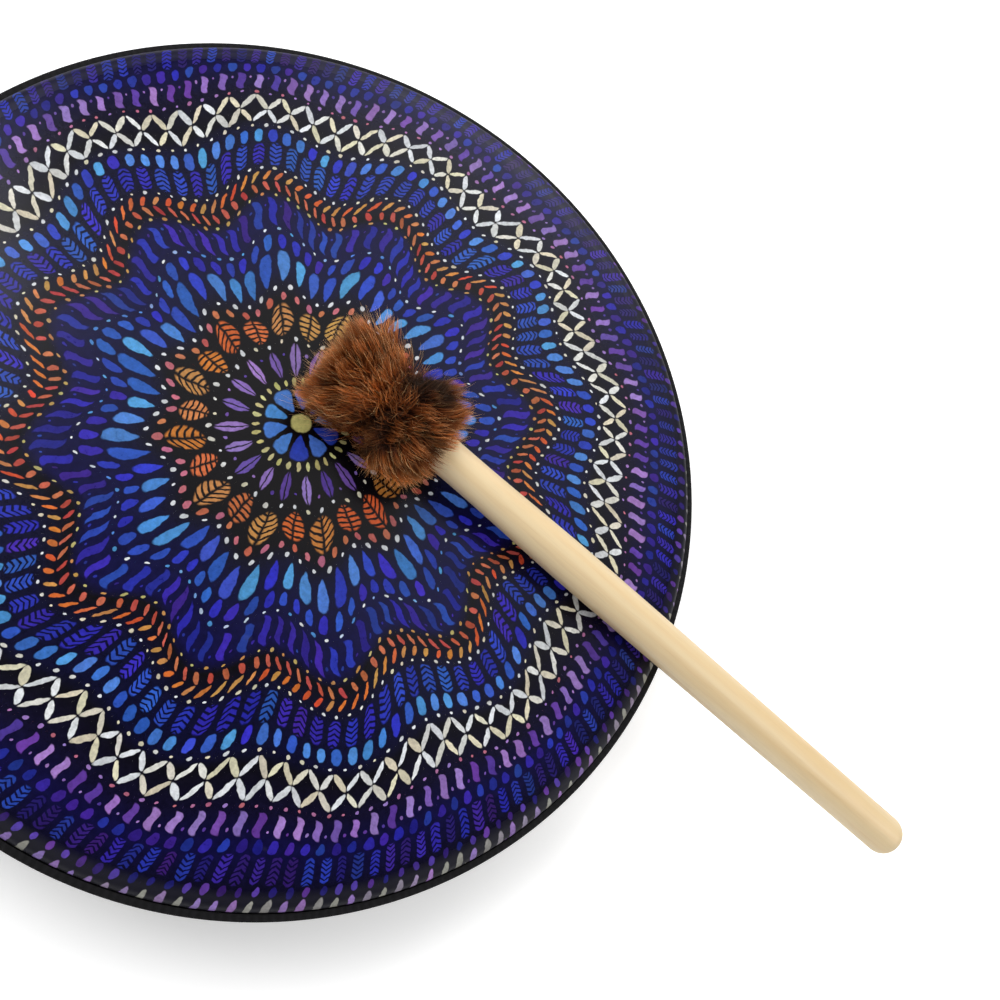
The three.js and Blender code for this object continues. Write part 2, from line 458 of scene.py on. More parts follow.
# %% Rings of marks
# Each ring's outer radius in millimetres, its mark and how often it stands in the ring
RINGS = [
    (3.5, "boss", 1), (11.0, "petal", 10), (14.0, "dot", 30), (23.0, "leaf", 20),
    (25.5, "speck", 40), (34.5, "feather", 24), (37.5, "dot", 60), (40.0, "speck", 60),
    (49.0, "drop", 60), (54.0, "egg", 84), (56.0, "speck", 96), (65.0, "ribbon", 96),
    (67.0, "speck", 120), (70.5, "tick", 144), (74.0, "tock", 144), (76.0, "speck", 144),
    (84.0, "ladder", 108), (89.0, "oval", 132), (91.0, "speck", 144), (96.0, "barb", 168),
    (101.0, "twig", 168), (103.0, "speck", 168), (109.0, "wisp", 132), (112.5, "egg", 168),
    (119.0, "column", 168), (122.0, "dot", 180), (127.5, "dot", 180),
]
print(len(RINGS), "rings out to", RINGS[-1][0], "mm")

# %% Bands of ink
# Each band's outer radius in millimetres and its two inks, which its marks mix
BANDS = [
    (3.5, "cream", "cream"), (11.0, "sky", "azure"), (14.0, "lemon", "straw"),
    (23.0, "violet", "lilac"), (25.5, "white", "cream"), (34.5, "orange", "amber"),
    (37.5, "pink", "coral"), (40.0, "white", "white"), (49.0, "azure", "sky"),
    (54.0, "cobalt", "azure"), (56.0, "sky", "white"), (65.0, "ultramarine", "cobalt"),
    (67.0, "amber", "lemon"), (70.5, "rust", "coral"), (74.0, "orange", "amber"),
    (76.0, "white", "cream"), (84.0, "cobalt", "azure"), (89.0, "azure", "sky"),
    (91.0, "cream", "white"), (96.0, "white", "cream"), (101.0, "cream", "white"),
    (103.0, "lilac", "pink"), (109.0, "violet", "lilac"), (112.5, "ultramarine", "cobalt"),
    (119.0, "cobalt", "indigo"), (122.0, "indigo", "violet"), (127.5, "ash", "lilac"),
]
print(len(BANDS), "bands of ink")

# %% [markdown]
# ### Looking the rings up
# A shader has no list to read from, but a colour ramp with hard steps is one: at each radius it gives the
# four numbers of the ring there. Four ramps hold the fourteen shape numbers and two hold the inks. Cycles
# stores a ramp as 256 steps, so the rings end on a half millimetre, which falls exactly between two of
# them.

# %% Ring lookup
RAMP_STEPS = 255
STEP_MM = 0.5
RAMP_REACH_MM = RAMP_STEPS * STEP_MM
# Each shape number's lowest and highest value, which a ramp's 0 to 1 stands for
SPANS = {"Middle": (0, 128), "Half length": (0, 8), "Count": (0, 256), "Width": (0, 1), "Corners": (0, 8),
         "Taper": (-1, 1), "Slant": (-2, 2), "Pinch": (0, 1), "Mirrored": (0, 1), "Vein": (0, 1),
         "Stagger": (0, 1), "Rungs": (0, 8), "Swing": (-2, 2), "Size spread": (0, 1)}
# A mark leaves room for a small dot beside it when it is longer and narrower than this
LONG_MM = 2.4
NARROW = 0.6
# How soft a mark's edge is, as a share of its size
EDGE_SOFTNESS = 0.09


def ring_rows():
    """Each ring as a dictionary of its inner radius and its shape numbers."""
    rows, inner = [], 0.0
    for outer, mark, count in RINGS:
        row = {**PLAIN_MARK, **MARKS[mark], "Count": count, "inner": inner, "Middle": (inner + outer) / 2}
        row["Half length"] = (outer - inner - row["Margin"]) / 2
        rows.append(row)
        inner = outer
    return rows


def band_rows():
    """Each band's inner radius and its two inks."""
    rows, inner = [], 0.0
    for outer, first, second in BANDS:
        rows.append({"inner": inner, "first": INKS[first], "second": INKS[second]})
        inner = outer
    return rows


def filler_rows(rows):
    """Small dots for the gaps between the longer marks: as many, half a cell round, near the outer end."""
    made = []
    for row in rows:
        has_room = row["Half length"] > LONG_MM and row["Width"] < NARROW
        dot = {"Width": 0.16 if has_room else SLIGHT, "Half length": 0.5, "Size spread": 0.4}
        dot["Stagger"] = (row["Stagger"] + 0.5) % 1
        dot["Middle"] = row["Middle"] + 0.5 * row["Half length"]
        made.append({**row, **PLAIN_MARK, **dot})
    return made


def stepped_ramp(tree, radius, rows, colour_of):
    """A colour ramp that holds one colour for each ring."""
    node = add(tree, "ShaderNodeValToRGB", {"Fac": sums(tree)("DIVIDE", radius, RAMP_REACH_MM)})
    node.color_ramp.interpolation = "CONSTANT"
    stops = node.color_ramp.elements
    stops.remove(stops[1])
    for i, row in enumerate(rows):
        at = max(0, (row["inner"] / STEP_MM - 0.5) / RAMP_STEPS)
        stop = stops[0] if i == 0 else stops.new(at)
        stop.color = colour_of(row)
    return node.outputs


def four_shares(row, names):
    """Up to four shape numbers, each as its share of its span, filled up with 1 to a colour's four parts."""
    shares = [(row[name] - SPANS[name][0]) / (SPANS[name][1] - SPANS[name][0]) for name in names]
    return shares + [1.0] * (4 - len(shares))


def lay_ring(tree, radius, turn, rows):
    """Draws the ring at each radius, and gives its mask and its ink."""
    calc = sums(tree)
    values = {}
    for names in (MARK_INPUTS[i:i + 4] for i in range(0, len(MARK_INPUTS), 4)):
        stops = stepped_ramp(tree, radius, rows, lambda row, names=names: four_shares(row, names))
        parts = channels_of(tree, stops["Color"])
        for name, share in zip(names, (parts["Red"], parts["Green"], parts["Blue"], stops["Alpha"])):
            low, high = SPANS[name]
            values[name] = calc("MULTIPLY_ADD", share, high - low, low)
    drawn = use(tree, mark_ring, {"Radius mm": radius, "Turn": turn, "Edge": EDGE_SOFTNESS, **values})
    first = stepped_ramp(tree, radius, band_rows(), lambda row: row["first"])["Color"]
    second = stepped_ramp(tree, radius, band_rows(), lambda row: row["second"])["Color"]
    odds = channels_of(tree, drawn["Chance"])
    tuned = add(tree, "ShaderNodeHueSaturation", {
        "Color": mix(tree, fit(tree, odds["Red"], 0.25, 0.75), first, second),
        "Hue": calc("ADD", 0.48, calc("MULTIPLY", odds["Green"], 0.04)),
        "Value": calc("ADD", 0.8, calc("MULTIPLY", odds["Blue"], 0.32)),
    })
    return drawn["Mask"], tuned.outputs[0]


print("lookup ready, reaching", RAMP_REACH_MM, "mm")

# %% [markdown]
# ### The skin's finish
# The print's middle isn't quite the drum's: the sheet was stretched a few millimetres off, less so at the
# rim. The rings swell and sink in twelve broad lobes and swirl a little, and every edge wavers. The ground
# between the marks is near black, bluer in some rings than in others. The film over it has a satin gloss
# that is duller at the worn shoulder, with faint broad waves from the stretching and a few shallow dents.

# %% Printed skin
PRINT_SHIFT_MM = (-4.7, 3.2, 0)
# The share of that shift that is left at the rim
SHIFT_LEFT_AT_RIM = 0.5
LOBES = 12
LOBE_HEIGHT_MM = 4.5
# The lobes swell to their full height between these radii, and sink to a tenth of it between those
SWELL_MM = (14.0, 60.0)
SINK_MM = (76.0, 116.0)
# In turns, for each millimetre from the middle
SWIRL_PER_MM = 0.0004
# How far an edge wavers, and the length of its waves
WAVER = {"Broad": 0.7, "Fine": 0.34, "Broad size": 9.0, "Fine size": 1.7}
BOSS_MM = (3.0, 2.6)
WORN_MM = (117.0, 119.5)
BORDER_MM = (122.4, 122.8)
# The ground's colour, from the middle out to where the rings end
GROUND_STOPS = [
    (0.0, ink(8, 4, 9)), (0.28, ink(8, 5, 12)), (0.34, ink(8, 9, 52)), (0.5, ink(12, 9, 66)),
    (0.53, ink(8, 5, 10)), (0.6, ink(8, 8, 44)), (0.7, ink(8, 8, 44)), (0.73, ink(8, 6, 16)),
    (0.81, ink(12, 8, 40)), (0.87, ink(12, 9, 62)), (0.95, ink(9, 7, 28)),
]


def make_printed_skin():
    made, tree, shader = material("printed_skin", roughness=0.36, specular=0.3)
    calc, vec = sums(tree), vectors(tree)
    on_drum = use(tree, round_place, {"Place": object_place(tree), "Axis": tuple(drum_axis)})
    true_radius = on_drum["Radius mm"]
    held = fit(tree, true_radius, 0.0, skin_radius / MM, 1.0, SHIFT_LEFT_AT_RIM)
    flat = vec("SUBTRACT", on_drum["Flat place mm"], vec("SCALE", PRINT_SHIFT_MM, held))
    drawn = use(tree, unsteady_hand, {"Place": flat, **WAVER})["Place"]
    spot = use(tree, round_place, {"Place": vec("SCALE", drawn, MM), "Axis": (0, 0, 0)})
    swell = fit(tree, spot["Radius mm"], *SWELL_MM)
    sink = fit(tree, spot["Radius mm"], *SINK_MM, 1.0, 0.1)
    wave = calc("COSINE", calc("MULTIPLY", spot["Turn"], 2 * math.pi * LOBES))
    height = calc("MULTIPLY", calc("MULTIPLY", swell, sink), LOBE_HEIGHT_MM)
    radius = calc("ADD", spot["Radius mm"], calc("MULTIPLY", wave, height))
    turn = calc("MULTIPLY_ADD", spot["Radius mm"], SWIRL_PER_MM, spot["Turn"])
    picture = ramp(tree, calc("DIVIDE", radius, RAMP_REACH_MM), GROUND_STOPS)
    rows = ring_rows()
    masks = []
    for layer in (filler_rows(rows), rows):
        mask, colour = lay_ring(tree, radius, turn, layer)
        masks.append(mask)
        picture = mix(tree, mask, picture, colour)
    picture = mix(tree, fit(tree, radius, *BOSS_MM), picture, INKS["lemon"])
    mottle = noise(tree, flat, 0.9, 4.0, Roughness=0.6)["Fac"]
    strength = fit(tree, mottle, 0.3, 0.7, 0.72, 1.14)
    picture = add(tree, "ShaderNodeHueSaturation", {"Color": picture, "Value": strength}).outputs[0]
    border = fit(tree, true_radius, *BORDER_MM)
    feed(tree, shader["Base Color"], mix(tree, border, picture, ink(9, 8, 9)))
    covered = calc("MAXIMUM", masks[0], masks[1])
    film = calc("MULTIPLY_ADD", covered, 0.04, calc("MULTIPLY_ADD", mottle, 0.1, 0.2))
    film = calc("MULTIPLY_ADD", fit(tree, true_radius, *WORN_MM), 0.3, film)
    feed(tree, shader["Roughness"], calc("MULTIPLY_ADD", border, 0.12, film))
    waves = noise(tree, flat, 0.03, 2.0)["Fac"]
    pitting = noise(tree, flat, 2.4, 2.0)["Fac"]
    knocks = add(tree, "ShaderNodeTexVoronoi", {"Vector": flat, "Scale": 0.03}).outputs["Distance"]
    dent = fit(tree, knocks, 0.0, 0.045, -0.25, 0.0, interpolation_type="SMOOTHSTEP")
    relief = calc("MULTIPLY_ADD", pitting, 0.006, calc("MULTIPLY_ADD", waves, 0.5, dent))
    raise_relief(tree, shader, relief, 0.6, 1.0 * MM)
    return made


printed_skin = make_printed_skin()
print("printed_skin has", len(printed_skin.node_tree.nodes), "nodes")

# %% [markdown]
# ## Turned pieces
# The hoop, the skin, the strip and the handle are all round, so each is one profile turned about an axis.
# The frame's solids have few sides, to be quick to test. Here the same profiles get four times as many, so
# that edges look round from close by. A profile runs anticlockwise, which turns every face outwards.

# %% Turning a profile
DRUM_SIDES = 360


def arc(centre, radius, start, end, steps):
    """Points on a round stretch of a profile, between two angles in degrees."""
    angles = (math.radians(start + (end - start) * i / steps) for i in range(steps + 1))
    return [(centre[0] + radius * math.cos(a), centre[1] + radius * math.sin(a)) for a in angles]


def turned(name, profile, sides, closed=True):
    """A mesh from a profile of (radius, height) points, turned about the Z axis."""
    places, rings = [], []
    for radius, height in profile:
        start = len(places)
        if radius < 1e-9:
            places.append((0.0, 0.0, height))
            rings.append([start] * sides)
        else:
            angles = (2 * math.pi * i / sides for i in range(sides))
            places += [(radius * math.cos(a), radius * math.sin(a), height) for a in angles]
            rings.append(list(range(start, start + sides)))
    faces = []
    for low, high in zip(rings, rings[1:] + (rings[:1] if closed else [])):
        for i in range(sides):
            j = (i + 1) % sides
            corners = list(dict.fromkeys((low[i], low[j], high[j], high[i])))
            faces.append(corners)
    mesh = bpy.data.meshes.new(name)
    mesh.from_pydata(places, [], faces)
    mesh.polygons.foreach_set("use_smooth", [True] * len(mesh.polygons))
    mesh.set_sharp_from_angle(angle=math.radians(32))
    return mesh


def place_in_scene(name, data):
    """A new object in the scene for a mesh, a light or a camera."""
    made = bpy.data.objects.new(name, data)
    bpy.context.scene.collection.objects.link(made)
    return made


def show(name, mesh, *finishes):
    """Puts a finished mesh in the scene, riding on the part's one body."""
    made = place_in_scene(name, mesh)
    for finish in finishes:
        mesh.materials.append(finish)
    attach(made, "root")
    print(name, "has", sum(len(p.vertices) - 2 for p in mesh.polygons), "triangles")
    return made


print("turning with", DRUM_SIDES, "sides")

# %% [markdown]
# ## The skin
# The real skin is one sheet: flat over the playing face, drawn over a rounded shoulder and glued down the
# side. Its underside is bare film, milky where the ink doesn't reach. Both come from one closed profile,
# and the faces that look down or inwards get the plain finish.

# %% Skin
SKIN_THICKNESS = 1.0 * MM
SHOULDER_RADIUS = 4.0 * MM


def make_bare_film():
    made, tree, shader = material("bare_film", roughness=0.45)
    cloud = noise(tree, object_place(tree), 28.0, 5.0)["Fac"]
    tint = fit(tree, cloud, 0.3, 0.7)
    feed(tree, shader["Base Color"], mix(tree, tint, ink(196, 190, 178), ink(214, 209, 198)))
    raise_relief(tree, shader, cloud, 0.2, 0.2 * MM)
    return made


def make_skin():
    shoulder = (skin_radius - SHOULDER_RADIUS, face_height - SHOULDER_RADIUS)
    inner = SHOULDER_RADIUS - SKIN_THICKNESS
    flat_radii = [shoulder[0] * i / 24 for i in range(24)]
    profile = [(r, face_height - SKIN_THICKNESS) for r in flat_radii]
    profile += arc(shoulder, inner, 90, 0, 8)
    profile += [(shoulder[0] + inner, skin_low.z), (skin_radius, skin_low.z)]
    profile += arc(shoulder, SHOULDER_RADIUS, 0, 90, 10)
    profile += [(r, face_height) for r in reversed(flat_radii)]
    mesh = turned("skin", profile, DRUM_SIDES, closed=False)
    mesh.transform(Matrix.Translation(drum_axis))
    piece = show("skin", mesh, printed_skin, make_bare_film())
    for face in mesh.polygons:
        outwards = face.normal.xy.dot((face.center - drum_axis).xy)
        hidden = face.normal.z < -0.2 or (abs(face.normal.z) < 0.95 and outwards < -1e-6)
        face.material_index = 1 if hidden else 0
    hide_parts("drum_head")


make_skin()

# %% [markdown]
# ## The hoop
# A thin plank bent into a ring, stained black. The grain runs round it, so the grain pattern varies slowly
# with the place round the ring and quickly across its wall. The back edge shows the plies that it was glued
# from, as faint lines under the stain.

# %% Hoop
HOOP_WALL = 7.5 * MM
HOOP_EDGE_ROUND = 1.5 * MM
BEARING_EDGE_DROP = 3.2 * MM
PLIES = 5


def make_black_stain():
    made, tree, shader = material("black_stained_wood", roughness=0.5, specular=0.3)
    calc = sums(tree)
    spot = use(tree, round_place, {"Place": object_place(tree), "Axis": tuple(drum_axis)})
    slow = calc("MULTIPLY", noise(tree, spot["Flat place mm"], 0.02, 2.0)["Fac"], 60)
    unrolled = join(tree, slow, spot["Radius mm"], spot["Height mm"])
    grain = use(tree, wood_grain, {"Place": unrolled, "Grain size": 1.4, "Stretch": 6.0})
    ply = calc("SINE", calc("MULTIPLY", spot["Radius mm"], 2 * math.pi * PLIES / (HOOP_WALL / MM)))
    lit = calc("ADD", calc("MULTIPLY", grain["Growth"], 0.8), calc("MULTIPLY", ply, 0.12), clamp=True)
    feed(tree, shader["Base Color"], mix(tree, lit, ink(8, 7, 8), ink(40, 35, 34)))
    feed(tree, shader["Roughness"], calc("MULTIPLY_ADD", grain["Pores"], 0.25, 0.42))
    raise_relief(tree, shader, grain["Pores"], 0.35, 0.15 * MM, invert=True)
    return made


def make_hoop():
    inner = hoop_radius - HOOP_WALL
    top = hoop_high.z
    edge = HOOP_EDGE_ROUND
    bearing = hoop_radius - (skin_radius - SHOULDER_RADIUS)
    profile = arc((inner + edge, edge), edge, 180, 270, 5)
    profile += arc((hoop_radius - edge, edge), edge, 270, 360, 5)
    profile += arc((hoop_radius - bearing, top - bearing), bearing, 0, 90, 8)
    profile += [(inner, top - BEARING_EDGE_DROP)]
    mesh = turned("wooden_hoop", profile, DRUM_SIDES)
    mesh.transform(Matrix.Translation(drum_axis))
    piece = show("wooden_hoop", mesh, make_black_stain())
    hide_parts("hoop")


make_hoop()

# %% [markdown]
# ## The edge strip
# A black woven tape hides the skin's hem. The weave is real relief at this size, but far too fine to model,
# so a bump carries it: two sine waves, one round the drum and one up the strip, swap over and under in a
# checkerboard. Whole numbers of threads round the drum keep the pattern free of a seam.

# %% Edge strip
BAND_THICKNESS = 2.0 * MM
BAND_ROUND = 0.7 * MM
THREADS_ROUND = 720
THREAD_RISE_MM = 1.1


def make_woven_black():
    made, tree, shader = material("black_woven_tape", roughness=0.8, specular=0.25)
    calc = sums(tree)
    spot = use(tree, round_place, {"Place": object_place(tree), "Axis": tuple(drum_axis)})
    warp = calc("SINE", calc("MULTIPLY", spot["Turn"], 2 * math.pi * THREADS_ROUND / 2))
    weft = calc("SINE", calc("MULTIPLY", spot["Height mm"], 2 * math.pi / (2 * THREAD_RISE_MM)))
    weave = calc("MULTIPLY_ADD", calc("MULTIPLY", warp, weft), 0.5, 0.5)
    fuzz = noise(tree, spot["Flat place mm"], 1.6, 4.0)["Fac"]
    lit = calc("MULTIPLY", calc("ADD", weave, 0.4), fuzz, clamp=True)
    feed(tree, shader["Base Color"], mix(tree, lit, ink(7, 7, 8), ink(29, 28, 31)))
    raise_relief(tree, shader, weave, 0.7, 0.25 * MM)
    return made


def make_band():
    inner = drum_radius - BAND_THICKNESS
    low, high, edge = band_low.z, band_high.z, BAND_ROUND
    profile = [(inner, low)]
    profile += arc((drum_radius - edge, low + edge), edge, 270, 360, 5)
    profile += arc((drum_radius - edge, high - edge), edge, 0, 90, 5)
    profile += [(inner, high)]
    mesh = turned("edge_strip", profile, DRUM_SIDES)
    mesh.transform(Matrix.Translation(drum_axis))
    piece = show("edge_strip", mesh, make_woven_black())
    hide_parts("edge_band")


make_band()

# %% [markdown]
# ## Where the beater lies
# The beater slopes a little, from its fur head on the face down over the rim. Its axis is read from the
# frame's handle: the longest direction through its points. A matrix then carries anything made along a
# plain X axis, with the fur's middle at zero, to its place on the drum.


# %% Beater's axis
def axis_of(node):
    """A point on a long node's axis and the axis's direction, towards +X."""
    points = np.unique(np.round([v.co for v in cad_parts[node].data.vertices], 6), axis=0)
    middle = points.mean(0)
    direction = np.linalg.svd(points - middle)[2][0]
    return Vector(middle), Vector(direction * np.sign(direction[0]))


axis_point, beater_direction = axis_of("beater_handle")
fur_middle_x = (fur_low.x + fur_high.x) / 2
fur_middle = axis_point + beater_direction * ((fur_middle_x - axis_point.x) / beater_direction.x)
beater_slope = -math.asin(beater_direction.z)
beater_place = Matrix.Translation(fur_middle) @ Matrix.Rotation(beater_slope, 4, "Y")
rest_height = fur_middle.z - face_height
fur_half = (fur_high.x - fur_low.x) / 2
print(f"beater slopes {math.degrees(beater_slope):.2f} degrees")
print(f"the fur's axis is {1000 * rest_height:.1f} mm over the face")

# %% [markdown]
# ## The handle
# A turned stick of pale wood: a slimmer neck where it enters the fur, a slow swell to its full thickness
# and a rounded end. The grain runs along it, with fine darker pores, and the sanded surface has a soft
# shine.

# %% Handle
HANDLE_NECK_RADIUS = 5.5 * MM
HANDLE_TAPER = (25 * MM, 73 * MM)
HANDLE_END_ROUND = 5.2 * MM
HANDLE_SIDES = 64


def make_pale_wood():
    made, tree, shader = material("pale_wood", roughness=0.42)
    calc, vec = sums(tree), vectors(tree)
    levelled = add(tree, "ShaderNodeMapping", {
        "Vector": vec("SUBTRACT", object_place(tree), tuple(fur_middle)),
        "Rotation": (0, -beater_slope, 0),
        "Scale": (1000, 1000, 1000),
    })
    grain = use(tree, wood_grain, {"Place": levelled.outputs[0], "Grain size": 1.6, "Stretch": 26.0})
    base = mix(tree, fit(tree, grain["Growth"], 0.3, 0.7), ink(247, 215, 163), ink(254, 231, 188))
    pored = mix(tree, calc("MULTIPLY", grain["Pores"], 0.1), base, ink(176, 128, 78))
    feed(tree, shader["Base Color"], pored)
    feed(tree, shader["Roughness"], calc("MULTIPLY_ADD", grain["Pores"], 0.15, 0.4))
    raise_relief(tree, shader, grain["Pores"], 0.2, 0.08 * MM, invert=True)
    return made


def make_handle():
    radius, neck = (handle_high.y - handle_low.y) / 2, HANDLE_NECK_RADIUS
    run = (handle_high.x - fur_middle.x) / beater_direction.x
    inner = (handle_low.x - fur_middle.x) / beater_direction.x + neck * math.tan(beater_slope)
    start, end = HANDLE_TAPER
    bevel = 0.6 * MM
    profile = [(0, inner), (neck - bevel, inner), (neck, inner + bevel)]
    for i in range(13):
        share = i / 12
        ease = share * share * (3 - 2 * share)
        profile.append((neck + (radius - neck) * ease, start + (end - start) * share))
    profile += arc((radius - HANDLE_END_ROUND, run - HANDLE_END_ROUND), HANDLE_END_ROUND, 0, 90, 12)
    profile += [(0, run)]
    mesh = turned("handle", profile, HANDLE_SIDES, closed=False)
    mesh.transform(beater_place @ Matrix.Rotation(math.radians(90), 4, "Y"))
    piece = show("handle", mesh, make_pale_wood())
    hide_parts("beater_handle")


make_handle()

# %% [markdown]
# ## The fur head's pad
# Under the fur is a stuffed pad, tied in at its middle so that it has two lobes, and pressed flat where it
# rests on the face. It is a turned outline whose lowest points are lifted to the face. The outline is a
# smooth curve through a few radii, from the tip to the handle.

# %% Pad
# Places along the axis from the fur's middle, with the pad's radius there, in millimetres
PAD_OUTLINE_MM = [
    (-16.8, 0.0), (-16.6, 6.4), (-14.6, 9.6), (-9.5, 10.0), (-4.5, 8.6), (-0.5, 7.2),
    (2.6, 9.0), (5.8, 10.6), (8.6, 10.6), (11.0, 8.6), (11.8, 5.8),
]
# How far the pad closes back in, inside the neck of the handle
PAD_TUCK = 8 * MM
PAD_RINGS = 40
PAD_SIDES = 56
PAD_CLEARANCE = 0.5 * MM


def smooth_outline(points, steps):
    """A curve through (place, radius) points in millimetres, as (radius, place) points in metres."""
    spots = np.array(points) * MM
    runs = np.concatenate([[0], np.cumsum(np.linalg.norm(np.diff(spots, axis=0), axis=1))])
    slopes = np.gradient(spots, runs, axis=0)
    made = []
    for run in np.linspace(0, runs[-1], steps):
        i = min(np.searchsorted(runs, run, side="right") - 1, len(runs) - 2)
        width = runs[i + 1] - runs[i]
        t = (run - runs[i]) / width
        place = ((2 * t**3 - 3 * t**2 + 1) * spots[i] + (t**3 - 2 * t**2 + t) * width * slopes[i]
                 + (3 * t**2 - 2 * t**3) * spots[i + 1] + (t**3 - t**2) * width * slopes[i + 1])
        made.append((max(0.0, place[1]), place[0]))
    return made


def make_undercoat():
    made, tree, shader = material("fur_undercoat", roughness=0.9, sheen=0.1)
    patch = noise(tree, object_place(tree), 420.0, 4.0)["Fac"]
    feed(tree, shader["Base Color"], mix(tree, patch, ink(9, 5, 3), ink(26, 13, 6)))
    raise_relief(tree, shader, patch, 0.6, 0.6 * MM)
    return made


def make_pad_mesh():
    outline = smooth_outline(PAD_OUTLINE_MM, PAD_RINGS)
    outline[0] = (0.0, outline[0][1])
    tuck = outline[-1][1] - PAD_TUCK
    profile = outline + [(HANDLE_NECK_RADIUS + 0.3 * MM, tuck), (0.0, tuck)]
    mesh = turned("fur_pad", profile, PAD_SIDES, closed=False)
    mesh.transform(Matrix.Rotation(math.radians(90), 4, "Y"))
    sine, cosine = math.sin(beater_slope), math.cos(beater_slope)
    for vertex in mesh.vertices:
        lowest = (PAD_CLEARANCE - rest_height + vertex.co.x * sine) / cosine
        vertex.co.z = max(vertex.co.z, lowest)
    return mesh


pad_mesh = make_pad_mesh()
print("pad has", len(pad_mesh.polygons), "faces")

# %% [markdown]
# ## The fur
# Fur is thousands of tapering hairs that lie the way they were brushed. A particle system would draw them,
# but they would be lost on export, so Geometry Nodes grow them as thin meshes. Points are scattered over
# the pad, and each gets a short curve that leaves along the surface's normal and bends over towards the
# brushed direction, away from the waist. Real fur also gathers in locks: a second, sparse set of points
# stands for them, and each hair leans towards its nearest lock, the more so the nearer its tip. The curves
# become three-sided spikes, and each keeps its share of the way to the tip and its tone as attributes, for
# its colour.


# %% Fur tree
# How far round a hair curls on its way to the tip
CURL_RADIANS = 8.0
# How strongly the swirl of the coat turns a hair, at its root and further on
SWIRL_AT_ROOT = 1.4
SWIRL_FURTHER_ON = 3.0
# A hair that points along the brushing is shorter by this share
SHORTER_AT_END = 0.35
FUR_INPUTS = {
    "Pad": "geometry", "Hairs per square metre": "value", "Locks per square metre": "value",
    "From": "value", "To": "value", "Length": "value", "Root radius": "value", "Lift": "value",
    "Comb": "value", "Gather": "value", "Swirl size": "value", "Unruly": "value", "Curl": "value",
    "Seed": "whole", "Rest height": "value", "Slope": "value", "Finish": "material",
}


